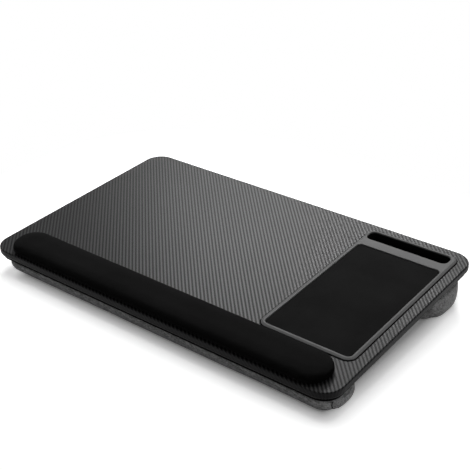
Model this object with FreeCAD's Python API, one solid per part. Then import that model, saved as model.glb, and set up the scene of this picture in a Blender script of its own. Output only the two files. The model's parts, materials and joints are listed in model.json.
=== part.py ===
import FreeCAD, Part
import math
import os

# Lap tray on a cushion of two bolsters, with a wrist rest, a mouse pad and a device slot.
# Millimetres. Every piece is made in the tray's own frame: the origin is the middle of the tray's
# top face, X runs to the user's right, Y to the rear and Z out of the tray. The whole is then tilted
# and lifted so that the bolsters stand on z = 0, with the origin under the middle of the tray.

# Tray
tray_width = 572.0
tray_depth = 354.0
tray_corner_radius = 28.0
board_thickness = 9.2
film_thickness = 0.5
film_return = 12.0
edge_round_top = 1.8
edge_round_bottom = 3.0

# Height of the tray's underside above the lap or table, at its front and rear edges
front_height = 25.6
rear_height = 49.4

# Wrist rest
rest_left_margin = 26.4
rest_right_margin = 20.4
rest_front_margin = 1.8
rest_depth = 56.4
rest_height = 15.5
rest_foot_tuck = 0.6
rest_swell_height = 8.5
rest_crown_width = 14.0
rest_end_flat = 0.6
rest_cover_thickness = 1.0
rest_base_thickness = 1.5
foam_clearance = 0.2

# Moulded insert with the mouse pad and the device slot
rest_to_insert = 8.8
insert_right_margin = 16.4
insert_rear_margin = 15.3
insert_corner_radius = 13.0
insert_wall = 1.8
insert_floor = 1.8
rim_side = 5.5
rim_front = 5.8
rim_rear = 4.2
rim_edge_height = 1.2
rim_lip_height = 2.2
rim_slope_run = 3.0
lip_chamfer = 0.6
insert_clearance = 0.3
gasket_thickness = 0.3
gasket_reveal = 1.4
tape_thickness = 0.5
tape_width = 18.0
tape_end_margin = 12.0

# Mouse pad
pad_width = 125.4
pad_corner_radius = 6.5
pad_cloth_thickness = 1.0
pad_rubber_thickness = 2.0
pad_below_lip = 1.5
pad_clearance = 0.3

# Device slot
slot_width = 21.0
slot_left_wall = 3.8
slot_right_wall = 8.6
slot_corner_radius = 8.0
slot_to_pad = 17.5
liner_wall = 1.8
liner_floor = 1.8

# Cushion base board and its screws
base_thickness = 5.0
base_inset = 4.0
screw_shank_radius = 1.75
screw_head_radius = 3.5
screw_tip_cover = 1.2
screw_end_margin = 46.0
screw_row_margin = 22.0
screw_columns = 4

# Bolsters
fabric_thickness = 1.2
bolster_left_inset = 10.0
bolster_right_inset = 0.2
bolster_widest_at = 0.42
bolster_tuck = 1.5
seam_angle = 48.0
floor_press = 0.5
panel_gap = 0.3
front_bolster_edge_inset = 4.5
front_bolster_depth = 75.0
front_bolster_outer_radius = 29.0
front_bolster_end_flat = 11.0
front_bolster_under_run = 11.3
rear_bolster_edge_inset = 11.0
rear_bolster_depth = 102.5
rear_bolster_outer_radius = 43.0
rear_bolster_end_flat = 18.5
rear_bolster_under_run = 9.0

# Sizes that follow from the ones above
right_edge = tray_width / 2
front_edge = -tray_depth / 2
rear_edge = tray_depth / 2
tray_thickness = board_thickness + 2 * film_thickness
board_bottom = -film_thickness - board_thickness
base_bottom = -tray_thickness - base_thickness
tilt = math.asin((rear_height - front_height) / tray_depth)
top_height = (front_height + rear_height) / 2 + tray_thickness * math.cos(tilt)

rest_front = front_edge + rest_front_margin
rest_rear = rest_front + rest_depth
rest_left = rest_left_margin - right_edge
rest_right = right_edge - rest_right_margin

bolster_left = bolster_left_inset - right_edge
bolster_right = right_edge - bolster_right_inset
front_bolster_front = front_edge + front_bolster_edge_inset
front_bolster_rear = front_bolster_front + front_bolster_depth
front_bolster_inner_radius = front_bolster_depth - front_bolster_outer_radius - front_bolster_end_flat
rear_bolster_rear = rear_edge - rear_bolster_edge_inset
rear_bolster_front = rear_bolster_rear - rear_bolster_depth
rear_bolster_inner_radius = rear_bolster_depth - rear_bolster_outer_radius - rear_bolster_end_flat

insert_width = pad_width + 2 * rim_side
insert_right = right_edge - insert_right_margin
insert_left = insert_right - insert_width
insert_front = rest_rear + rest_to_insert
insert_rear = rear_edge - insert_rear_margin
slot_rear = insert_rear - rim_rear
slot_front = slot_rear - slot_width
slot_left = insert_left + slot_left_wall
slot_right = insert_right - slot_right_wall
pad_left = insert_left + rim_side
pad_right = insert_right - rim_side
pad_front = insert_front + rim_front
pad_rear = slot_front - slot_to_pad
pad_top = rim_lip_height - pad_below_lip
pad_seat = pad_top - pad_cloth_thickness - pad_rubber_thickness
pan_bottom = pad_seat - insert_floor
pocket_bottom = pan_bottom - tape_thickness


def vector(x, y, z):
    return FreeCAD.Vector(x, y, z)


class Outline:
    """A rectangle seen from above, with one corner radius at its front and one at its rear."""

    def __init__(self, left, right, front, rear, front_radius, rear_radius=None):
        self.left = left
        self.right = right
        self.front = front
        self.rear = rear
        self.front_radius = front_radius
        self.rear_radius = front_radius if rear_radius is None else rear_radius

    def grown(self, by):
        """The same outline moved outwards by a distance, or inwards where that is negative."""
        return Outline(self.left - by, self.right + by, self.front - by, self.rear + by,
                       self.front_radius + by, self.rear_radius + by)

    def corners(self):
        """Each corner's arc centre, radius and first direction in degrees, counterclockwise."""
        near = self.front_radius
        far = self.rear_radius
        return [(self.right - near, self.front + near, near, -90.0),
                (self.right - far, self.rear - far, far, 0.0),
                (self.left + far, self.rear - far, far, 90.0),
                (self.left + near, self.front + near, near, 180.0)]

    def wire(self, height=0.0):
        """Four straight sides joined by four quarter arcs, at one height."""
        arcs = []
        for x, y, radius, start in self.corners():
            points = []
            for turn in (0.0, 45.0, 90.0):
                angle = math.radians(start + turn)
                points.append(vector(x + radius * math.cos(angle), y + radius * math.sin(angle), height))
            arcs.append(points)
        edges = []
        for index, points in enumerate(arcs):
            following = arcs[(index + 1) % len(arcs)]
            edges.append(Part.Arc(*points).toShape())
            if (following[0] - points[2]).Length > 1e-6:
                edges.append(Part.LineSegment(points[2], following[0]).toShape())
        return Part.Wire(edges)

    def block(self, bottom, top):
        """A solid of this outline between two heights."""
        return Part.Face(self.wire(bottom)).extrude(vector(0, 0, top - bottom))


def frustum(lower, bottom, upper, top):
    """A solid with straight sloping sides from one outline to another."""
    return Part.makeLoft([lower.wire(bottom), upper.wire(top)], True, True)


def solid_between(left, right):
    """A slab between two X positions, larger than the part every other way."""
    reach = tray_width + tray_depth
    return Part.makeBox(right - left, 2 * reach, 2 * reach, vector(left, -reach, -reach))


tray = Outline(-right_edge, right_edge, front_edge, rear_edge, tray_corner_radius)
insert = Outline(insert_left, insert_right, insert_front, insert_rear, insert_corner_radius)
pad = Outline(pad_left, pad_right, pad_front, pad_rear, pad_corner_radius)
slot = Outline(slot_left, slot_right, slot_front, slot_rear, slot_corner_radius)
pan = pad.grown(insert_wall)
trough = slot.grown(liner_wall)
gasket = insert.grown(gasket_reveal)
backing = tray.grown(-film_return)
base = tray.grown(-base_inset)
rest = Outline(rest_left, rest_right, rest_front, rest_rear, (rest_depth - rest_end_flat) / 2)


def rounded_plate(outline, bottom, top, lower_radius, upper_radius):
    """A plate whose lower and upper edges are rounded all the way round."""
    plate = outline.block(bottom, top)
    upper = [e for e in plate.Edges if abs(e.BoundBox.ZMin - top) < 1e-6]
    plate = plate.makeFillet(upper_radius, upper)
    lower = [e for e in plate.Edges if abs(e.BoundBox.ZMax - bottom) < 1e-6]
    return plate.makeFillet(lower_radius, lower)


def through_slot(shape):
    """The shape with the hole that the slot's trough passes through."""
    return shape.cut(trough.grown(insert_clearance).block(base_bottom - 1, rim_lip_height))


def for_insert(shape):
    """The shape with the pocket and the slot hole that take the insert."""
    pocket = pan.grown(insert_clearance).block(pocket_bottom, rim_lip_height)
    return through_slot(shape.cut(pocket))


def tray_core():
    """The board's full form, before its cut-outs."""
    return rounded_plate(tray.grown(-film_thickness), board_bottom, -film_thickness,
                         edge_round_bottom - film_thickness, edge_round_top - film_thickness)


def tray_board():
    board = for_insert(tray_core())
    for x, y in screw_places():
        board = board.cut(screw_shank(x, y))
    return board


def carbon_film():
    """A film over the top and the edges, turned under all round."""
    skin = rounded_plate(tray, -tray_thickness, 0.0, edge_round_bottom, edge_round_top)
    skin = skin.cut(tray_core())
    skin = skin.cut(backing.block(-tray_thickness - 1, board_bottom))
    return for_insert(skin)


def backing_sheet():
    sheet = through_slot(backing.block(-tray_thickness, board_bottom))
    for x, y in screw_places():
        sheet = sheet.cut(screw_shank(x, y))
    return sheet


def flared_opening(outline, bottom):
    """A cutter for an opening in the insert's lip, wider at its mouth by the lip's chamfer."""
    neck = rim_lip_height - lip_chamfer
    shaft = outline.block(bottom, neck)
    mouth = frustum(outline, neck, outline.grown(2 * lip_chamfer), rim_lip_height + lip_chamfer)
    return shaft.fuse(mouth)


def insert_gasket():
    """A thin black gasket between the film and the insert's rim, a little wider than the rim."""
    return for_insert(gasket.block(0.0, gasket_thickness))


def pad_and_slot_insert():
    """One moulding: a sloping rim on the gasket, with a shallow pan for the pad and an open slot."""
    body = insert.block(gasket_thickness, rim_edge_height)
    body = body.fuse(frustum(insert, rim_edge_height, insert.grown(-rim_slope_run), rim_lip_height))
    body = body.fuse(pan.block(pan_bottom, rim_edge_height))
    body = body.cut(flared_opening(pad, pad_seat))
    body = body.cut(flared_opening(slot, -rim_edge_height))
    return body.removeSplitter()


def slot_liner():
    """The trough under the slot, from the insert's underside down to the base board's."""
    hollow = slot.block(base_bottom + liner_floor, rim_edge_height)
    return trough.block(base_bottom, gasket_thickness).cut(hollow)


def insert_tape():
    """Two strips of double-sided tape that hold the pan down in its pocket."""
    length = pad_width - 2 * tape_end_margin
    strips = []
    for front in (pad_front + tape_end_margin, pad_rear - tape_end_margin - tape_width):
        corner = vector(pad_left + tape_end_margin, front, pocket_bottom)
        strips.append(Part.makeBox(length, tape_width, tape_thickness, corner))
    return Part.makeCompound(strips)


def mouse_pad_rubber():
    return pad.grown(-pad_clearance).block(pad_seat, pad_seat + pad_rubber_thickness)


def mouse_pad_cloth():
    return pad.grown(-pad_clearance).block(pad_seat + pad_rubber_thickness, pad_top)


def rest_form(skin):
    """The wrist rest's crowned form, made smaller by a skin: it swells out a little above its foot,
    then follows a quarter ellipse in to its crown."""
    crown = rest_height - skin
    half_crown = rest_crown_width / 2
    run = rest_depth / 2 - skin - half_crown
    rise = crown - rest_swell_height
    sections = [rest.grown(-skin - rest_foot_tuck).wire(0.0)]
    for degrees in (0.0, 30.0, 55.0, 75.0, 90.0):
        angle = math.radians(degrees)
        inset = skin + run * (1 - math.cos(angle))
        sections.append(rest.grown(-inset).wire(rest_swell_height + rise * math.sin(angle)))
    return Part.makeLoft(sections, True, False)


def rest_base_slab():
    return rest.grown(rest_depth).block(-1.0, rest_base_thickness)


def wrist_rest_cover():
    return rest_form(0.0).cut(rest_form(rest_cover_thickness))


def wrist_rest_foam():
    return rest_form(rest_cover_thickness + foam_clearance).cut(rest_base_slab())


def wrist_rest_base():
    return rest_form(rest_cover_thickness + foam_clearance).common(rest_base_slab())


def screw_places():
    """Two rows of screws in the open band between the bolsters."""
    front_row = front_bolster_rear + screw_row_margin
    rear_row = rear_bolster_front - screw_row_margin
    pitch = (tray_width - 2 * screw_end_margin) / (screw_columns - 1)
    columns = [screw_end_margin - right_edge + index * pitch for index in range(screw_columns)]
    return [(x, y) for y in (front_row, rear_row) for x in columns]


def screw_shank(x, y):
    """The shank, from the base board's underside up to just below the pad's pocket."""
    length = pocket_bottom - screw_tip_cover - base_bottom
    return Part.makeCylinder(screw_shank_radius, length, vector(x, y, base_bottom))


def screw(x, y):
    """A countersunk screw with its head flush with the base board's underside."""
    height = screw_head_radius - screw_shank_radius
    head = Part.makeCone(screw_head_radius, screw_shank_radius, height, vector(x, y, base_bottom))
    return head.fuse(screw_shank(x, y)).removeSplitter()


def base_board_screws():
    return Part.makeCompound([screw(x, y) for x, y in screw_places()])


def cushion_base_board():
    board = through_slot(base.block(base_bottom, -tray_thickness))
    for x, y in screw_places():
        board = board.cut(screw(x, y))
    return board


class Bolster:
    """One stuffed bolster: widest a little below the base board, tucked in under it, and rounded
    under to the flat where it rests."""

    def __init__(self, outline, outer_radius, under_run):
        self.outline = outline
        self.outer_radius = outer_radius
        self.under_run = under_run

    def section(self, share, inset, skin):
        """The outline on a plane that lies some share of the way from the base board to the floor."""
        top = base_bottom - skin
        floor = (skin - floor_press - top_height) / math.cos(tilt)
        height = top + share * (floor - top)
        wire = self.outline.grown(-inset - skin).wire()
        turn = FreeCAD.Rotation(vector(1, 0, 0), -share * math.degrees(tilt))
        wire.Placement = FreeCAD.Placement(vector(0, 0, height), turn)
        return wire

    def form(self, skin):
        """The stuffed form, made smaller by a skin all round."""
        sections = [self.section(0.0, bolster_tuck, skin),
                    self.section(bolster_widest_at / 2, bolster_tuck / 4, skin)]
        for degrees in (0.0, 30.0, 55.0, 75.0, 90.0):
            angle = math.radians(degrees)
            share = bolster_widest_at + (1 - bolster_widest_at) * math.sin(angle)
            sections.append(self.section(share, self.under_run * (1 - math.cos(angle)), skin))
        return Part.makeLoft(sections, True, False)

    def fill(self):
        return self.form(fabric_thickness)

    def cover(self):
        """The whole sewn cover, cut flat where it meets the floor."""
        return self.form(0.0).cut(self.fill()).cut(below_floor())

    def seams(self):
        """Where the long panel meets the two ends: part of the way round the outer corners."""
        reach = self.outer_radius * (1 - math.cos(math.radians(seam_angle)))
        return self.outline.left + reach, self.outline.right - reach


def below_floor():
    """All the space under the plane that the part stands on, in the tray's frame."""
    reach = tray_width + tray_depth
    block = Part.makeBox(2 * reach, 2 * reach, reach, vector(-reach, -reach, -reach))
    block.Placement = standing().inverse()
    return block


def standing():
    """From the tray's frame to the part's own: tilted, lifted and centred over the origin."""
    shift = -tray_thickness / 2 * math.sin(tilt)
    turn = FreeCAD.Rotation(vector(1, 0, 0), math.degrees(tilt))
    return FreeCAD.Placement(vector(0, shift, top_height), turn)


def bolsters():
    """The front and the rear bolster, by name."""
    near = Outline(bolster_left, bolster_right, front_bolster_front, front_bolster_rear,
                   front_bolster_outer_radius, front_bolster_inner_radius)
    far = Outline(bolster_left, bolster_right, rear_bolster_front, rear_bolster_rear,
                  rear_bolster_inner_radius, rear_bolster_outer_radius)
    return {"front_bolster": Bolster(near, front_bolster_outer_radius, front_bolster_under_run),
            "rear_bolster": Bolster(far, rear_bolster_outer_radius, rear_bolster_under_run)}


def bolster_pieces(name, bolster):
    """The long panel, the two end panels and the fill of one bolster."""
    cover = bolster.cover()
    left_seam, right_seam = bolster.seams()
    beyond = tray_width
    return {name + "_cover": cover.common(solid_between(left_seam, right_seam)),
            name + "_left_end": cover.common(solid_between(-beyond, left_seam)),
            name + "_right_end": cover.common(solid_between(right_seam, beyond)),
            name + "_fill": bolster.fill()}


def center_panel():
    """The fabric over the base board between the two bolsters."""
    front = front_bolster_rear + panel_gap
    rear = rear_bolster_front - panel_gap
    half = right_edge - base_inset
    corner = vector(-half, front, base_bottom - fabric_thickness)
    return Part.makeBox(2 * half, rear - front, fabric_thickness, corner)


def nodes():
    made = {"tray_board": tray_board(),
            "carbon_film": carbon_film(),
            "backing_sheet": backing_sheet(),
            "pad_and_slot_insert": pad_and_slot_insert(),
            "slot_liner": slot_liner(),
            "insert_gasket": insert_gasket(),
            "insert_tape": insert_tape(),
            "mouse_pad_rubber": mouse_pad_rubber(),
            "mouse_pad_cloth": mouse_pad_cloth(),
            "wrist_rest_base": wrist_rest_base(),
            "wrist_rest_foam": wrist_rest_foam(),
            "wrist_rest_cover": wrist_rest_cover(),
            "cushion_base_board": cushion_base_board(),
            "base_board_screws": base_board_screws(),
            "center_panel": center_panel()}
    for name, bolster in bolsters().items():
        made.update(bolster_pieces(name, bolster))
    return made


os.makedirs("parts", exist_ok=True)
for node, shape in nodes().items():
    placed = shape.copy()
    placed.Placement = standing().multiply(placed.Placement)
    placed.exportStep(os.path.join("parts", node + ".step"))
    print(node, len(placed.Solids), "solid(s), volume", round(placed.Volume), "mm3")
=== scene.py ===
import json
import math

import bmesh
import bpy
from mathutils import Matrix, Vector, noise


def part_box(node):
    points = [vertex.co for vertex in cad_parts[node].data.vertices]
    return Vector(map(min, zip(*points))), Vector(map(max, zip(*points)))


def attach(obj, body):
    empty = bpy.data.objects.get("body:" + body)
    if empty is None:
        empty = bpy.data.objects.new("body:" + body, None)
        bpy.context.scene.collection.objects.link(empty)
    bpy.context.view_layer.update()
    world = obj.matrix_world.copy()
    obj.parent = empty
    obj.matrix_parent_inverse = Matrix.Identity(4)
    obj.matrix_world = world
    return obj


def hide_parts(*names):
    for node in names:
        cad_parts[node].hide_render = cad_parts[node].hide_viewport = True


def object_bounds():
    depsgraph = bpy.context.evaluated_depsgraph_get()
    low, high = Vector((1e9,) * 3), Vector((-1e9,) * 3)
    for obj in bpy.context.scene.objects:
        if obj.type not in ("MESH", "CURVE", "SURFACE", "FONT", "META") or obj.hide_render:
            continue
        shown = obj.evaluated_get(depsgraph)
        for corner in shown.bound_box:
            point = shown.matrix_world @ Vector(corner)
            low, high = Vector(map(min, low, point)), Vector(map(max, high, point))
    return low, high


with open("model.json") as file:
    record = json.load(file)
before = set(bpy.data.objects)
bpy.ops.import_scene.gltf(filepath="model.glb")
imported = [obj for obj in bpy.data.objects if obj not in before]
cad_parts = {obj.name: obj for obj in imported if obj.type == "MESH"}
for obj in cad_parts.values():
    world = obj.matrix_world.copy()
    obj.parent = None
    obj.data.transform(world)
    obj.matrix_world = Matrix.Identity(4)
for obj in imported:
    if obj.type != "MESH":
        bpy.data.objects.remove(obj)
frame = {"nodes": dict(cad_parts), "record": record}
cad_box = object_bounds()

# Lap tray on a cushion of two bolsters, dressed over the CAD model. Metres, in the model's own frame.
# "Tray frame" below means the tray's: origin at the middle of its top, Z out of the top.

# Camera, in the tray frame
camera_eye = Vector((0.73969, -0.88865, 0.71945))
camera_forward = Vector((-0.54204, 0.66469, -0.51418))
camera_up = Vector((-0.29158, 0.42509, 0.85690))
camera_lens = 75.69
camera_sensor = 36.0

# World: the strength of its light, and of the backdrop that is seen
dome_low = 0.14
dome_high = 0.26
backdrop_top = 0.25
backdrop_white_to = 0.31
backdrop_dark_from = 0.64

# Lamps, all aimed at the origin
key_power = 60.0
key_size = (2.7, 2.7)
key_from = Vector((-0.62, 0.95, 3.2))
sheen_power = 87.0
sheen_size = (1.74, 0.8)
sheen_from = Vector((-1.76, 2.69, 2.38))
fill_power = 12.0
fill_size = (2.0, 1.4)
fill_from = Vector((3.0, 0.5, 1.2))

# Floor, whose glow starts inside the object's outline and grows outwards: painted light, which lightens the
# object's shadow near it, most on the left where it starts furthest in
floor_size = 8.0
floor_drop = 0.0002
floor_tone = 0.8
glow_left_inset = 0.056
glow_right_inset = 0.022
glow_front_inset = 0.0175
glow_rear_inset = 0.013
glow_reach = 0.024
glow_near = 0.05
glow_far = 0.5
floor_white_from = 0.12
floor_white_at = 0.3

# Film. A face's rise is the upward part of its direction: 1 on the flat top, 0 on an upright wall.
tow_width = 0.00158
tow_length = 0.00171
twill_repeat = 4.0
twill_up = 2.0
tow_side_share = 0.55
fibre_swing = 0.12
film_light = (0.05, 0.05, 0.051, 1.0)
film_dark = (0.002, 0.002, 0.0021, 1.0)
film_light_roughness = 0.23
film_dark_roughness = 0.45
film_specular = 0.06
# Painted shade on upright walls: there the light tows keep only this share of their tone, fading in over the
# rises below
film_wall_shade = 0.12
film_bend_rise = (0.3, 0.98)

# Heather fabric: the greys of its yarns, the yarns to a metre, and what makes up its tone
yarn_dark = 0.11
yarn_pale = 0.30
yarn_count = 1050.0
yarn_contrast = (0.42, 0.62)
fleck_share = 0.5
cross_fleck_share = 0.32
cloud_share = 0.22

# Dark cloths: their tone, and the pitch of their knit
dark_cloths = {
    # The seam cloth is dark as painted shade, standing in for the shade in the groove of a seam
    "seam_shade_cloth": (0.035, 0.0006),
    "rest_cloth": (0.0062, 0.0007),
    "pad_cloth": (0.0095, 0.0005),
}
wear_contrast = (0.32, 0.68)
wear_share = 0.55
cloth_tones = (0.75, 1.3)
# Painted shade on sides that don't face up: they keep only this share of the tone, fading in over the rises
# below
cloth_side_shade = 0.12
cloth_bend_rise = (0.35, 0.92)

# Moulded nodes: the name of their material, its tone, roughness and specular level
moulded_nodes = {
    "backing_sheet": ("backing_plastic", 0.03, 0.6, 0.3),
    "pad_and_slot_insert": ("insert_plastic", 0.088, 0.5, 0.1),
    # The slot liner's near-black tone is painted shade, for the shade deep in the slot
    "slot_liner": ("liner_plastic", 0.004, 0.8, 0.05),
    # The gasket's near-black tone is painted shadow: it stands in for the shaded outer wall of the insert's
    # rim and the shadow it casts
    "insert_gasket": ("gasket_rubber", 0.004, 0.9, 0.02),
    "mouse_pad_rubber": ("pad_rubber", 0.012, 0.8, 0.15),
    # The base board is black, and its near-zero tone is also painted shade, for the shade under the tray's
    # overhanging edge
    "cushion_base_board": ("base_board", 0.003, 0.9, 0.02),
}
plastic_tones = (0.92, 1.06)
grain_swing = 0.06

# Inner materials
board_pale = (0.42, 0.29, 0.18, 1.0)
board_dark = (0.24, 0.15, 0.085, 1.0)
board_contrast = (0.35, 0.65)
steel_dull = 0.42
steel_bright = 0.6
steel_roughness = (0.28, 0.42)
tape_dark = (0.55, 0.53, 0.47, 1.0)
tape_pale = (0.72, 0.70, 0.64, 1.0)

# Where most of a noise texture's values lie
noise_range = (0.3, 0.7)

# Stuffed bodies
bolster_voxel = 0.005
rest_voxel = 0.004
cloth_frames = 20
cloth_pressure = 4.0
bolster_swell = 0.0030
rest_swell = 0.0006
rest_end_tuck = 0.0022
rest_end_reach = 0.06
held_band = 0.002
lump_height = 0.0005
lump_size = 0.045
board_gap = 0.0003
film_gap = 0.0001

# Seams, hems and stitches of the bolsters
line_spacing = 0.003
fewest_points = 8
shortest_length = 1e-9
seam_width = 0.0020
seam_height = 0.0014
seam_sides = 8
seam_easing = 3
crease_reach = 0.0055
crease_depth = 0.0010
hem_top_gap = 0.0003
hem_depth = 0.0042
hem_thickness = 0.0007
hem_sink = 0.0006
hem_easing = 6
front_bias = 1e-3
stitch_depth = 0.72 * hem_depth
stitch_pitch = 0.0048
stitch_length = 0.0032
stitch_radius = 0.00035
stitch_sides = 8
stitch_rings = 5

# Mouse pad and cloth under the base board
pad_corner = 0.0062
pad_corner_steps = 8
pad_edge_round = 0.0006
pad_edge_steps = 4
panel_cells = (56, 16)
panel_sag = 0.0008
ripple_counts = (9.0, 4.0)
ripple_seed = 3.0
ripple_mean = 0.6
ripple_swing = 0.5

shown = frame["nodes"]


def tray_matrix():
    """From the tray frame to the model's frame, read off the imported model."""
    lean = next(m for m in frame["record"]["mounts"] if m["name"] == "mouse_surface")["axis"]
    turn = Matrix.Rotation(math.atan2(-lean[1], lean[2]), 4, "X")
    points = [turn.inverted() @ v.co for v in shown["carbon_film"].data.vertices]
    low = [min(p[axis] for p in points) for axis in range(3)]
    high = [max(p[axis] for p in points) for axis in range(3)]
    return turn @ Matrix.Translation(((low[0] + high[0]) / 2, (low[1] + high[1]) / 2, high[2]))


tray = tray_matrix()
tray_inverse = tray.inverted()
tray_up = (tray.to_3x3() @ Vector((0, 0, 1))).normalized()


def tray_box(node):
    """The lowest and highest corner of a CAD node in the tray frame."""
    points = [tray_inverse @ v.co for v in shown[node].data.vertices]
    low = Vector([min(p[axis] for p in points) for axis in range(3)])
    high = Vector([max(p[axis] for p in points) for axis in range(3)])
    return low, high


# The height in the tray frame where the bolsters' cloth ends, under the base board
cloth_top = tray_box("cushion_base_board")[0].z - board_gap


class Nodes:
    """A node tree under construction, with short calls that add nodes and link them."""

    def __init__(self, tree):
        self.tree = tree

    def node(self, kind, **settings):
        made = self.tree.nodes.new("ShaderNode" + kind)
        for name, value in settings.items():
            setattr(made, name, value)
        return made

    def feed(self, value, socket):
        """Links a socket to another node's output, or sets it to a plain value."""
        if isinstance(value, bpy.types.NodeSocket):
            self.tree.links.new(value, socket)
        else:
            socket.default_value = value

    def maths(self, operation, first, second=0.0):
        made = self.node("Math", operation=operation)
        self.feed(first, made.inputs[0])
        self.feed(second, made.inputs[1])
        return made.outputs[0]

    def axes(self, vector):
        split = self.node("SeparateXYZ")
        self.feed(vector, split.inputs[0])
        return split.outputs[0], split.outputs[1], split.outputs[2]

    def span(self, value, old, new=(0.0, 1.0)):
        """A value mapped from one range to another, and held inside it."""
        made = self.node("MapRange")
        self.feed(value, made.inputs[0])
        for index, number in enumerate((*old, *new), start=1):
            made.inputs[index].default_value = number
        return made.outputs[0]

    def ray_share(self):
        """One for camera, glossy and transmission rays, which all see the background as it is."""
        path = self.node("LightPath").outputs
        seen = self.maths("MAXIMUM", path["Is Camera Ray"], path["Is Glossy Ray"])
        return self.maths("MAXIMUM", seen, path["Is Transmission Ray"])


class Surface(Nodes):
    """A material under construction, on one shader."""

    def __init__(self, name, roughness, specular):
        self.material = bpy.data.materials.new(name)
        self.material.use_nodes = True
        super().__init__(self.material.node_tree)
        self.shader = self.tree.nodes["Principled BSDF"]
        self.shader.inputs["Roughness"].default_value = roughness
        self.shader.inputs["Specular IOR Level"].default_value = specular

    def place(self, stretch=(1.0, 1.0, 1.0)):
        """Object coordinates, which are the model's own, stretched along the axes."""
        mapped = self.node("Mapping")
        mapped.inputs["Scale"].default_value = stretch
        self.feed(self.node("TexCoord").outputs["Object"], mapped.inputs["Vector"])
        return mapped.outputs["Vector"]

    def in_tray(self, vector, kind):
        """A point or a direction of the model turned into the tray frame."""
        mapped = self.node("Mapping", vector_type=kind)
        mapped.inputs["Rotation"].default_value = tray_inverse.to_euler()
        if kind == "POINT":
            mapped.inputs["Location"].default_value = tray_inverse.translation
        self.feed(vector, mapped.inputs["Vector"])
        return mapped.outputs["Vector"]

    def speckle(self, scale, detail, stretch=(1.0, 1.0, 1.0)):
        """Noise of a given number of features to the metre."""
        made = self.node("TexNoise")
        made.inputs["Scale"].default_value = scale
        made.inputs["Detail"].default_value = detail
        self.feed(self.place(stretch), made.inputs["Vector"])
        return made.outputs["Fac"]

    def waves(self, value):
        """A sine wave that crosses zero at every whole number."""
        return self.maths("SINE", self.maths("MULTIPLY", value, math.pi))

    def mixed(self, share, first, second):
        """A colour part of the way from one to another, from the colour sockets of a mix node."""
        made = self.node("Mix", data_type="RGBA")
        self.feed(share, made.inputs[0])
        self.feed(first, made.inputs[6])
        self.feed(second, made.inputs[7])
        return made.outputs[2]

    def bump(self, height, strength, distance):
        made = self.node("Bump")
        made.inputs["Strength"].default_value = strength
        made.inputs["Distance"].default_value = distance
        self.feed(height, made.inputs["Height"])
        self.feed(made.outputs["Normal"], self.shader.inputs["Normal"])

    def colour(self, value):
        self.feed(value, self.shader.inputs["Base Color"])

    def roughness(self, value):
        self.feed(value, self.shader.inputs["Roughness"])


def grey(level):
    """A colour without a hue."""
    return (level, level, level, 1.0)


def twill(surface, across, along):
    """A two-up, two-down twill: which cells show the upright tows, and the height of the weave.

    A step counts whole cells as a share of the repeat, so the limit for upright lies half a cell off.
    """
    column = surface.maths("FLOOR", across)
    row = surface.maths("FLOOR", along)
    in_column = surface.maths("FRACT", across)
    in_row = surface.maths("FRACT", along)
    diagonal = surface.maths("ADD", column, row)
    step = surface.maths("FRACT", surface.maths("DIVIDE", diagonal, twill_repeat))
    upright = surface.maths("LESS_THAN", step, (twill_up - 0.5) / twill_repeat)
    level = surface.maths("SUBTRACT", 1.0, upright)
    width = surface.maths("ADD", surface.maths("MULTIPLY", upright, in_column),
                          surface.maths("MULTIPLY", level, in_row))
    length = surface.maths("ADD", surface.maths("MULTIPLY", upright, in_row),
                           surface.maths("MULTIPLY", level, in_column))
    cells = surface.maths("MODULO", surface.maths("MULTIPLY", step, twill_repeat), twill_up)
    run = surface.maths("DIVIDE", surface.maths("ADD", cells, length), twill_up)
    height = surface.maths("MULTIPLY", surface.waves(run), surface.waves(width))
    return upright, height


def woven_film():
    """Dark film with a printed carbon-look twill, which runs on over the rounded edges, where painted shade
    darkens it.
    """
    surface = Surface("woven_film", film_dark_roughness, film_specular)
    point = surface.in_tray(surface.node("TexCoord").outputs["Object"], "POINT")
    facing = surface.in_tray(surface.node("NewGeometry").outputs["Normal"], "VECTOR")
    x, y, z = surface.axes(point)
    side, back, rise = surface.axes(facing)
    across = surface.maths("SUBTRACT", x, surface.maths("MULTIPLY", z, side))
    along = surface.maths("SUBTRACT", y, surface.maths("MULTIPLY", z, back))
    upright, height = twill(surface, surface.maths("DIVIDE", across, tow_width),
                            surface.maths("DIVIDE", along, tow_length))
    fibre = surface.span(surface.speckle(scale=2600.0, detail=1.0), noise_range, (-fibre_swing, fibre_swing))
    tows = surface.maths("MULTIPLY", upright, surface.span(height, (0.0, 1.0), (tow_side_share, 1.0)))
    # Painted shade: on faces that don't face up the light tows lose their tone
    flat = surface.span(surface.maths("ABSOLUTE", rise), film_bend_rise, (film_wall_shade, 1.0))
    share = surface.maths("MULTIPLY", surface.maths("ADD", tows, fibre), flat)
    surface.colour(surface.mixed(share, film_dark, film_light))
    surface.roughness(surface.span(share, (0.0, 1.0), (film_dark_roughness, film_light_roughness)))
    surface.bump(height, strength=0.15, distance=0.0002)
    return surface.material


def moulded_plastic(name, tone, roughness, specular):
    """Moulded plastic with a fine spark texture and a faint unevenness of tone."""
    surface = Surface(name, roughness, specular)
    grain = surface.speckle(scale=2400.0, detail=2.0)
    cloud = surface.span(surface.speckle(scale=28.0, detail=3.0), noise_range)
    dim, light = plastic_tones
    surface.colour(surface.mixed(cloud, grey(tone * dim), grey(tone * light)))
    surface.roughness(surface.span(grain, noise_range, (roughness - grain_swing, roughness + grain_swing)))
    surface.bump(grain, strength=0.25, distance=0.0001)
    return surface.material


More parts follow.
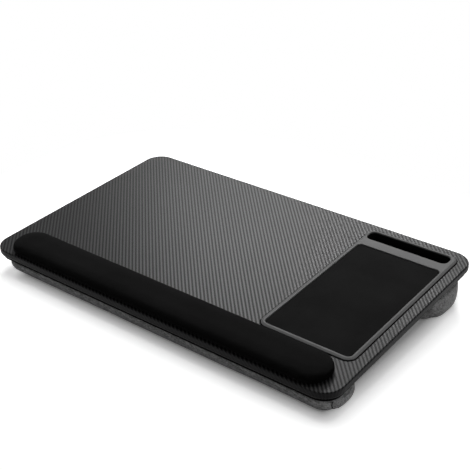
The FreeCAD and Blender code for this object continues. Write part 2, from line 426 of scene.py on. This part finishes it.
def heather_fabric():
    """Woven heather-grey cloth: flecked yarns of several greys in a plain weave."""
    surface = Surface("heather_fabric", roughness=0.92, specular=0.08)
    surface.shader.inputs["Sheen Weight"].default_value = 0.12
    surface.shader.inputs["Sheen Roughness"].default_value = 0.5
    flecks = surface.speckle(scale=430.0, detail=3.0, stretch=(0.45, 1.0, 1.6))
    cross_flecks = surface.speckle(scale=560.0, detail=2.0, stretch=(1.6, 1.0, 0.5))
    cloud = surface.speckle(scale=90.0, detail=3.0)
    tone = surface.maths("ADD", surface.maths("MULTIPLY", flecks, fleck_share),
                         surface.maths("MULTIPLY", cross_flecks, cross_fleck_share))
    tone = surface.maths("ADD", tone, surface.maths("MULTIPLY", cloud, cloud_share))
    surface.colour(surface.mixed(surface.span(tone, yarn_contrast), grey(yarn_dark), grey(yarn_pale)))
    x, y, z = surface.axes(surface.place((yarn_count, yarn_count, yarn_count)))
    weave = surface.maths("MULTIPLY", surface.waves(x), surface.waves(surface.maths("ADD", y, z)))
    surface.bump(surface.maths("ADD", weave, flecks), strength=0.5, distance=0.0003)
    return surface.material


def dark_cloth(name):
    """Close dark cloth with a fine knit, faint wear on what faces up and deep shade on its sides."""
    tone, knit = dark_cloths[name]
    surface = Surface(name, roughness=0.95, specular=0.03)
    worn = surface.span(surface.speckle(scale=22.0, detail=4.0), wear_contrast)
    fine = surface.speckle(scale=1700.0, detail=2.0)
    share = surface.maths("ADD", surface.maths("MULTIPLY", worn, wear_share),
                          surface.maths("MULTIPLY", fine, 1 - wear_share))
    dim, light = cloth_tones
    top = surface.mixed(share, grey(tone * dim), grey(tone * light))
    # Painted shade: faces that turn away from up darken
    _, _, rise = surface.axes(surface.node("NewGeometry").outputs["Normal"])
    surface.colour(surface.mixed(surface.span(rise, cloth_bend_rise), grey(tone * cloth_side_shade), top))
    x, y, _ = surface.axes(surface.place((1 / knit, 1 / knit, 1 / knit)))
    loops = surface.maths("MULTIPLY", surface.waves(x), surface.waves(y))
    surface.bump(surface.maths("ADD", loops, fine), strength=0.35, distance=0.0002)
    return surface.material


def fibreboard():
    """Pressed wood fibre: short pale and dark flecks."""
    surface = Surface("fibreboard", roughness=0.85, specular=0.2)
    flecks = surface.speckle(scale=900.0, detail=4.0, stretch=(0.4, 1.0, 1.0))
    surface.colour(surface.mixed(surface.span(flecks, board_contrast), board_dark, board_pale))
    surface.bump(flecks, strength=0.3, distance=0.0002)
    return surface.material


def plated_steel():
    """Zinc-plated steel with fine turning marks."""
    surface = Surface("plated_steel", roughness=0.35, specular=0.5)
    surface.shader.inputs["Metallic"].default_value = 1.0
    marks = surface.speckle(scale=1500.0, detail=2.0)
    surface.colour(surface.mixed(marks, grey(steel_dull), grey(steel_bright)))
    surface.roughness(surface.span(marks, noise_range, steel_roughness))
    return surface.material


def paper_tape():
    """Pale paper tape with short fibres."""
    surface = Surface("paper_tape", roughness=0.7, specular=0.3)
    fibres = surface.speckle(scale=700.0, detail=3.0, stretch=(0.5, 1.0, 1.0))
    surface.colour(surface.mixed(fibres, tape_dark, tape_pale))
    return surface.material


def give(node, material):
    """Gives a CAD node its material, in every slot that it has."""
    slots = shown[node].data.materials
    slots.clear()
    slots.append(material)


def new_piece(name, mesh, material):
    """A piece of the object from a mesh, with smooth faces."""
    piece = bpy.data.objects.new(name, mesh)
    bpy.context.collection.objects.link(piece)
    mesh.materials.clear()
    mesh.materials.append(material)
    smooth(mesh)
    return piece


def smooth(mesh):
    """Shades every face of a mesh smooth."""
    mesh.polygons.foreach_set("use_smooth", [True] * len(mesh.polygons))


def mesh_from(name, work):
    """A mesh with all its faces turned outwards."""
    mesh = bpy.data.meshes.new(name)
    bmesh.ops.recalc_face_normals(work, faces=work.faces[:])
    work.to_mesh(mesh)
    work.free()
    return mesh


def as_mesh(piece):
    """The piece's mesh with its modifiers applied, which are then taken off."""
    graph = bpy.context.evaluated_depsgraph_get()
    mesh = bpy.data.meshes.new_from_object(piece.evaluated_get(graph))
    piece.modifiers.clear()
    piece.data = mesh
    return mesh


def even_body(name, nodes, voxel, material):
    """A body of even small faces over the forms of some CAD nodes."""
    work = bmesh.new()
    for node in nodes:
        work.from_mesh(shown[node].data)
    body = new_piece(name, mesh_from(name, work), material)
    even = body.modifiers.new("even", "REMESH")
    even.mode = "VOXEL"
    even.voxel_size = voxel
    as_mesh(body)
    return body


def moved(body, moves):
    """Moves each point of a body by its own step."""
    for vertex, move in zip(body.data.vertices, moves):
        vertex.co += move


def swell(body, is_held, most):
    """Swells a body as a stuffed cover does, with some points held and every move capped."""
    group = body.vertex_groups.new(name="held")
    group.add([v.index for v in body.data.vertices if is_held(v.co)], 1.0, "REPLACE")
    cloth = body.modifiers.new("cloth", "CLOTH")
    cloth.settings.use_pressure = True
    cloth.settings.uniform_pressure_force = cloth_pressure
    cloth.settings.vertex_group_mass = group.name
    cloth.settings.effector_weights.gravity = 0.0
    scene = bpy.context.scene
    for number in range(1, cloth_frames + 1):
        scene.frame_set(number)
    graph = bpy.context.evaluated_depsgraph_get()
    swollen = [v.co.copy() for v in body.evaluated_get(graph).data.vertices]
    body.modifiers.clear()
    steps = [place - v.co for v, place in zip(body.data.vertices, swollen)]
    moved(body, [step * min(1.0, most / max(step.length, shortest_length)) for step in steps])
    scene.frame_set(1)


def finer(body):
    """The body with each face divided once and smoothed."""
    body.modifiers.new("finer", "SUBSURF").levels = 1
    smooth(as_mesh(body))


def lumpy(body):
    """Slow, shallow lumps, as stuffing gives."""
    moved(body, [v.normal * (lump_height * noise.noise(v.co / lump_size)) for v in body.data.vertices])


def creased(body, places):
    """Draws the cloth in along seams that lie square to X."""
    moves = []
    for vertex in body.data.vertices:
        away = min(abs(vertex.co.x - x) for x in places) / crease_reach
        moves.append(vertex.normal * (-crease_depth * max(0.0, 1 - away * away) ** 2))
    moved(body, moves)


def level_plane(at, depth):
    """The model's height, above a place, of the plane at a depth in the tray frame."""
    origin = tray.translation
    return origin.z - (tray_up.y * (at.y - origin.y) - depth) / tray_up.z


def fit_height(body, floor, top):
    """Stretches a bolster so that it stands on the floor and meets the base board, whose underside leans."""
    for vertex in body.data.vertices:
        share = (vertex.co.z - floor) / (level_plane(vertex.co, top) - floor)
        vertex.co.z = max(0.0, min(1.0, share) * level_plane(vertex.co, cloth_top))


def cut_line(mesh, point, direction):
    """The longest closed line where a plane cuts a mesh, as points in order."""
    work = bmesh.new()
    work.from_mesh(mesh)
    everything = work.verts[:] + work.edges[:] + work.faces[:]
    cut = bmesh.ops.bisect_plane(work, geom=everything, plane_co=point, plane_no=direction)["geom_cut"]
    beside = {}
    for edge in (g for g in cut if isinstance(g, bmesh.types.BMEdge)):
        for vertex in edge.verts:
            beside.setdefault(vertex, []).append(edge.other_vert(vertex))
    longest = []
    while beside:
        vertex = next(iter(beside))
        line = []
        while vertex is not None:
            line.append(vertex.co.copy())
            following = beside.pop(vertex)
            vertex = next((v for v in following if v in beside), None)
        longest = max(longest, line, key=len)
    work.free()
    return longest


def evenly(line, spacing):
    """Points at an even spacing round a closed line."""
    ends = line[1:] + line[:1]
    lengths = [(b - a).length for a, b in zip(line, ends)]
    count = max(fewest_points, round(sum(lengths) / spacing))
    step = sum(lengths) / count
    points = []
    index = 0
    passed = 0.0
    for number in range(count):
        while passed + lengths[index] < number * step and index < len(line) - 1:
            passed += lengths[index]
            index += 1
        share = (number * step - passed) / max(lengths[index], shortest_length)
        points.append(line[index].lerp(ends[index], min(1.0, share)))
    return points


def eased(line, rounds):
    """A closed line with its small kinks smoothed out."""
    for _ in range(rounds):
        line = [(line[i - 1] + 2 * line[i] + line[(i + 1) % len(line)]) / 4 for i in range(len(line))]
    return line


def line_round(body, point, axis, rounds):
    """A smooth closed line of even points where a plane cuts a body."""
    return eased(evenly(cut_line(body.data, point, axis), line_spacing), rounds)


def tangents(line):
    """The direction of a closed line at each of its points."""
    return [(line[(i + 1) % len(line)] - line[i - 1]).normalized() for i in range(len(line))]


def outwards(line, axis):
    """Directions that point out of a flat closed line, which lies square to the axis."""
    middle = sum(line, Vector()) / len(line)
    sides = [t.cross(axis).normalized() for t in tangents(line)]
    if sum((p - middle).dot(s) for p, s in zip(line, sides)) < 0:
        sides = [-s for s in sides]
    return sides


def bridged(work, first, second):
    """Faces between two closed rings that hold the same number of points."""
    for i in range(len(first)):
        k = (i + 1) % len(first)
        work.faces.new((first[i], first[k], second[k], second[i]))


def ribbon(name, sections, material):
    """A closed ring of cloth through sections that each hold the same number of points."""
    work = bmesh.new()
    rows = [[work.verts.new(p) for p in section] for section in sections]
    for first, second in zip(rows, rows[1:] + rows[:1]):
        bridged(work, first, second)
    return new_piece(name, mesh_from(name, work), material)


def welt(name, line, axis, material):
    """A raised rib of cloth along a seam."""
    turns = [math.tau * number / seam_sides for number in range(seam_sides)]
    sections = []
    for point, out in zip(line, outwards(line, axis)):
        wide = axis * (seam_width / 2)
        tall = out * (seam_height / 2)
        sections.append([point + wide * math.cos(turn) + tall * math.sin(turn) for turn in turns])
    return ribbon(name, sections, material)


def unit_ball():
    """The points and faces of a coarse ball, which a stitch stretches."""
    work = bmesh.new()
    bmesh.ops.create_uvsphere(work, u_segments=stitch_sides, v_segments=stitch_rings, radius=1.0)
    work.verts.index_update()
    points = [v.co.copy() for v in work.verts]
    faces = [[v.index for v in f.verts] for f in work.faces]
    work.free()
    return points, faces


def stitches(name, line, axis, lift, material):
    """Short threads in a row along a closed line, a little proud of the cloth."""
    ball, ball_faces = unit_ball()
    points = []
    faces = []
    spots = evenly(line, stitch_pitch)
    size = Matrix.Diagonal((stitch_length / 2, stitch_radius, stitch_radius, 1.0))
    for spot, along, out in zip(spots, tangents(spots), outwards(spots, axis)):
        turn = Matrix((along, along.cross(out), out)).transposed().to_4x4()
        place = Matrix.Translation(spot + out * lift) @ turn @ size
        faces += [[index + len(points) for index in face] for face in ball_faces]
        points += [place @ p for p in ball]
    mesh = bpy.data.meshes.new(name)
    mesh.from_pydata(points, [], faces)
    return new_piece(name, mesh, material)


def seam_places(end):
    """Where a bolster's two end seams lie along X."""
    low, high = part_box(end + "_bolster_cover")
    return {"left": low.x, "right": high.x}


def stuffed_body(end, fabric):
    """A bolster's stuffed cover, drawn in at its seams."""
    fill = end + "_bolster_fill"
    top = tray_box(fill)[1].z
    body = even_body(end + "_bolster", [fill], bolster_voxel, fabric)
    swell(body, lambda at: (tray_inverse @ at).z > top - held_band, bolster_swell)
    finer(body)
    lumpy(body)
    creased(body, seam_places(end).values())
    fit_height(body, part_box(fill)[0].z, top)
    panels = [end + "_bolster_" + panel for panel in ("cover", "left_end", "right_end")]
    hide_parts(*panels, fill)
    return body


def end_seams(end, body, seam_cloth):
    """A raised seam round each end of a bolster, kept off the floor and under the base board."""
    across = Vector((1, 0, 0))
    seams = []
    for name, x in seam_places(end).items():
        line = line_round(body, Vector((x, 0, 0)), across, seam_easing)
        for point in line:
            point.z = max(seam_height / 2, point.z)
            above = (tray_inverse @ point).z - cloth_top + seam_height / 2
            point.z -= max(0.0, above)
        seams.append(welt(end + "_seam_" + name, line, across, seam_cloth))
    return seams


def level_line(body, depth):
    """A closed line round a bolster, at a depth below its top."""
    return line_round(body, tray @ Vector((0, 0, cloth_top - depth)), tray_up, hem_easing)


def first_point(line):
    """Which point of a line lies furthest to the right, and there furthest to the front."""
    return max(range(len(line)), key=lambda i: line[i].x - front_bias * line[i].y)


def hem(end, body, fabric):
    """A turned band of cloth round the top of a bolster."""
    # Each corner of the band: its depth below the top, and how far it stands out of the cloth
    corners = ((hem_top_gap, -hem_sink), (hem_top_gap, hem_thickness),
               (hem_depth, hem_thickness), (hem_depth, -hem_sink))
    lines = [level_line(body, depth) for depth, _ in corners]
    count = min(len(line) for line in lines)
    rings = []
    for line, (_, proud) in zip(lines, corners):
        ring = [point + out * proud for point, out in zip(line, outwards(line, tray_up))]
        start = first_point(line)
        rings.append([ring[(start + round(i * len(ring) / count)) % len(ring)] for i in range(count)])
    return ribbon(end + "_hem", list(zip(*rings)), fabric)


def bolster(end, fabric, seam_cloth):
    """One stuffed bolster with its two end seams, its hem under the board and the stitching."""
    body = stuffed_body(end, fabric)
    pieces = [body]
    pieces += end_seams(end, body, seam_cloth)
    pieces.append(hem(end, body, fabric))
    line = level_line(body, stitch_depth)
    pieces.append(stitches(end + "_hem_stitches", line, tray_up, hem_thickness, fabric))
    return pieces


def wrist_rest(cloth):
    """The padded rest: a swollen dome that sits flat on the film, drawn in a little at its left end."""
    nodes = ["wrist_rest_base", "wrist_rest_foam", "wrist_rest_cover"]
    body = even_body("wrist_rest", nodes, rest_voxel, cloth)
    swell(body, lambda at: (tray_inverse @ at).z < held_band, rest_swell)
    finer(body)
    left = tray_box("wrist_rest_cover")[0].x
    for vertex in body.data.vertices:
        local = tray_inverse @ vertex.co
        local.x += rest_end_tuck * max(0.0, 1 - (local.x - left) / rest_end_reach)
        local.z = max(film_gap, local.z)
        vertex.co = tray @ local
    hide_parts(*nodes)
    return [body]


def rounded_ring(low, high, radius, inset, height):
    """Points of a rounded rectangle in the tray frame, drawn in by an inset."""
    ring = []
    corner = radius - inset
    centres = ((high.x - radius, low.y + radius, -90), (high.x - radius, high.y - radius, 0),
               (low.x + radius, high.y - radius, 90), (low.x + radius, low.y + radius, 180))
    for x, y, start in centres:
        for step in range(pad_corner_steps + 1):
            angle = math.radians(start + step * 90 / pad_corner_steps)
            ring.append(Vector((x + corner * math.cos(angle), y + corner * math.sin(angle), height)))
    return ring


def mouse_pad(cloth):
    """The pad's cloth face, with a softly rounded edge."""
    low, high = tray_box("mouse_pad_cloth")
    rings = [rounded_ring(low, high, pad_corner, 0.0, low.z)]
    for step in range(pad_edge_steps + 1):
        angle = math.radians(step * 90 / pad_edge_steps)
        inset = pad_edge_round * (1 - math.cos(angle))
        height = high.z - pad_edge_round * (1 - math.sin(angle))
        rings.append(rounded_ring(low, high, pad_corner, inset, height))
    work = bmesh.new()
    rows = [[work.verts.new(tray @ p) for p in ring] for ring in rings]
    for first, second in zip(rows, rows[1:]):
        bridged(work, first, second)
    work.faces.new(rows[-1])
    work.faces.new(list(reversed(rows[0])))
    piece = new_piece("mouse_pad", mesh_from("mouse_pad", work), cloth)
    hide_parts("mouse_pad_cloth")
    return [piece]


def panel_drop(u, v):
    """How far the cloth under the board sags at a place, given as shares of its width and depth."""
    ripple = noise.noise(Vector((u * ripple_counts[0], v * ripple_counts[1], ripple_seed)))
    belly = math.sin(math.pi * u) * math.sin(math.pi * v)
    return panel_sag * belly * (ripple_mean + ripple_swing * ripple)


def center_panel(fabric):
    """The cloth stretched under the base board, with slight ripples."""
    low, high = tray_box("center_panel")
    width = high.x - low.x
    depth = high.y - low.y
    across, along = panel_cells
    work = bmesh.new()
    grid = []
    for i in range(across + 1):
        column = []
        for j in range(along + 1):
            u = i / across
            v = j / along
            spot = Vector((low.x + width * u, low.y + depth * v, high.z - board_gap - panel_drop(u, v)))
            column.append(work.verts.new(tray @ spot))
        grid.append(column)
    for i in range(across):
        for j in range(along):
            work.faces.new((grid[i][j], grid[i + 1][j], grid[i + 1][j + 1], grid[i][j + 1]))
    piece = new_piece("center_cloth", mesh_from("center_cloth", work), fabric)
    thicken = piece.modifiers.new("thicken", "SOLIDIFY")
    thicken.thickness = high.z - low.z - board_gap
    thicken.offset = 1.0
    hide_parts("center_panel")
    return [piece]


def dress_nodes():
    """Materials for the CAD nodes that stay in view or inside."""
    give("carbon_film", woven_film())
    give("tray_board", fibreboard())
    give("insert_tape", paper_tape())
    give("base_board_screws", plated_steel())
    for node, finish in moulded_nodes.items():
        give(node, moulded_plastic(*finish))


def soft_pieces():
    """Every padded or cloth piece."""
    fabric = heather_fabric()
    # The front bolster's seams take the dark cloth as painted shade in their grooves; the rear's stay in the
    # fabric
    pieces = bolster("front", fabric, dark_cloth("seam_shade_cloth"))
    pieces += bolster("rear", fabric, fabric)
    pieces += wrist_rest(dark_cloth("rest_cloth"))
    pieces += mouse_pad(dark_cloth("pad_cloth"))
    pieces += center_panel(fabric)
    return pieces


def studio_world():
    """White to look at round the horizon, with a softer light that grows towards the top."""
    world = bpy.data.worlds.new("studio")
    bpy.context.scene.world = world
    world.use_nodes = True
    nodes = Nodes(world.node_tree)
    _, _, height = nodes.axes(nodes.node("TexCoord").outputs["Generated"])
    light = nodes.tree.nodes["Background"]
    light.inputs["Color"].default_value = grey(1.0)
    nodes.feed(nodes.span(height, (0.0, 1.0), (dome_low, dome_high)), light.inputs["Strength"])
    backdrop = nodes.node("Background")
    backdrop.inputs["Color"].default_value = grey(1.0)
    fading = nodes.span(height, (backdrop_white_to, backdrop_dark_from), (1.0, backdrop_top))
    nodes.feed(fading, backdrop.inputs["Strength"])
    mix = nodes.node("MixShader")
    nodes.feed(nodes.ray_share(), mix.inputs[0])
    nodes.feed(light.outputs[0], mix.inputs[1])
    nodes.feed(backdrop.outputs[0], mix.inputs[2])
    nodes.feed(mix.outputs[0], nodes.tree.nodes["World Output"].inputs["Surface"])


def softbox(name, shape, where, size, power):
    """A broad lamp, turned towards the origin."""
    lamp = bpy.data.lights.new(name, "AREA")
    lamp.shape = shape
    lamp.size, lamp.size_y = size
    lamp.energy = power
    box = bpy.data.objects.new(name, lamp)
    bpy.context.collection.objects.link(box)
    box.location = where
    box.rotation_euler = (-where).to_track_quat("-Z", "Y").to_euler()


def beyond(surface, value, low, high):
    """How far a coordinate lies outside a range."""
    under = surface.maths("SUBTRACT", low, value)
    over = surface.maths("SUBTRACT", value, high)
    return surface.maths("MAXIMUM", surface.maths("MAXIMUM", under, over), 0.0)


def glowing_floor():
    """White floor that keeps the shadow near the object, lightened there by a painted glow, and is plain
    white further out.
    """
    surface = Surface("glowing_floor", roughness=1.0, specular=0.0)
    seen = surface.ray_share()
    low, high = cad_box
    x, y, _ = surface.axes(surface.place())
    across = beyond(surface, x, low[0] + glow_left_inset, high[0] - glow_right_inset)
    along = beyond(surface, y, low[1] + glow_front_inset, high[1] - glow_rear_inset)
    square = surface.maths("ADD", surface.maths("MULTIPLY", across, across),
                           surface.maths("MULTIPLY", along, along))
    away = surface.maths("SQRT", square)
    far = surface.span(away, (floor_white_from, floor_white_at))
    surface.colour(surface.mixed(seen, grey(floor_tone), surface.mixed(far, grey(1.0), grey(0.0))))
    # Painted light: a glow for camera and reflections, rising outwards from inside the outline, lightens the
    # shadow near the object
    near_glow = surface.span(away, (0.0, glow_reach), (glow_near, glow_far))
    far_glow = surface.maths("MULTIPLY", far, surface.maths("SUBTRACT", 1.0, near_glow))
    glow = surface.maths("MULTIPLY", seen, surface.maths("ADD", near_glow, far_glow))
    surface.shader.inputs["Emission Color"].default_value = grey(1.0)
    surface.feed(glow, surface.shader.inputs["Emission Strength"])
    return surface.material


def studio_floor():
    """A pale floor, which keeps the shadow under a painted glow."""
    mesh = bpy.data.meshes.new("floor")
    half = floor_size / 2
    corners = [(x * half, y * half, -floor_drop) for x, y in ((-1, -1), (1, -1), (1, 1), (-1, 1))]
    mesh.from_pydata(corners, [], [(0, 1, 2, 3)])
    floor = bpy.data.objects.new("floor", mesh)
    bpy.context.collection.objects.link(floor)
    mesh.materials.append(glowing_floor())


def studio_camera():
    """The camera at the photograph's place, given in the tray frame."""
    data = bpy.data.cameras.new("camera")
    data.lens = camera_lens
    data.sensor_width = camera_sensor
    data.sensor_fit = "HORIZONTAL"
    right = camera_forward.cross(camera_up).normalized()
    up = right.cross(camera_forward).normalized()
    turn = Matrix((right, up, -camera_forward.normalized())).transposed().to_4x4()
    camera = bpy.data.objects.new("camera", data)
    bpy.context.collection.objects.link(camera)
    camera.matrix_world = tray @ Matrix.Translation(camera_eye) @ turn
    bpy.context.scene.camera = camera


dress_nodes()
for piece in soft_pieces():
    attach(piece, "root")
studio_world()
softbox("key", "ELLIPSE", key_from, key_size, key_power)
softbox("sheen", "RECTANGLE", sheen_from, sheen_size, sheen_power)
softbox("fill", "RECTANGLE", fill_from, fill_size, fill_power)
studio_floor()
studio_camera()
bpy.context.scene.view_settings.view_transform = "Standard"
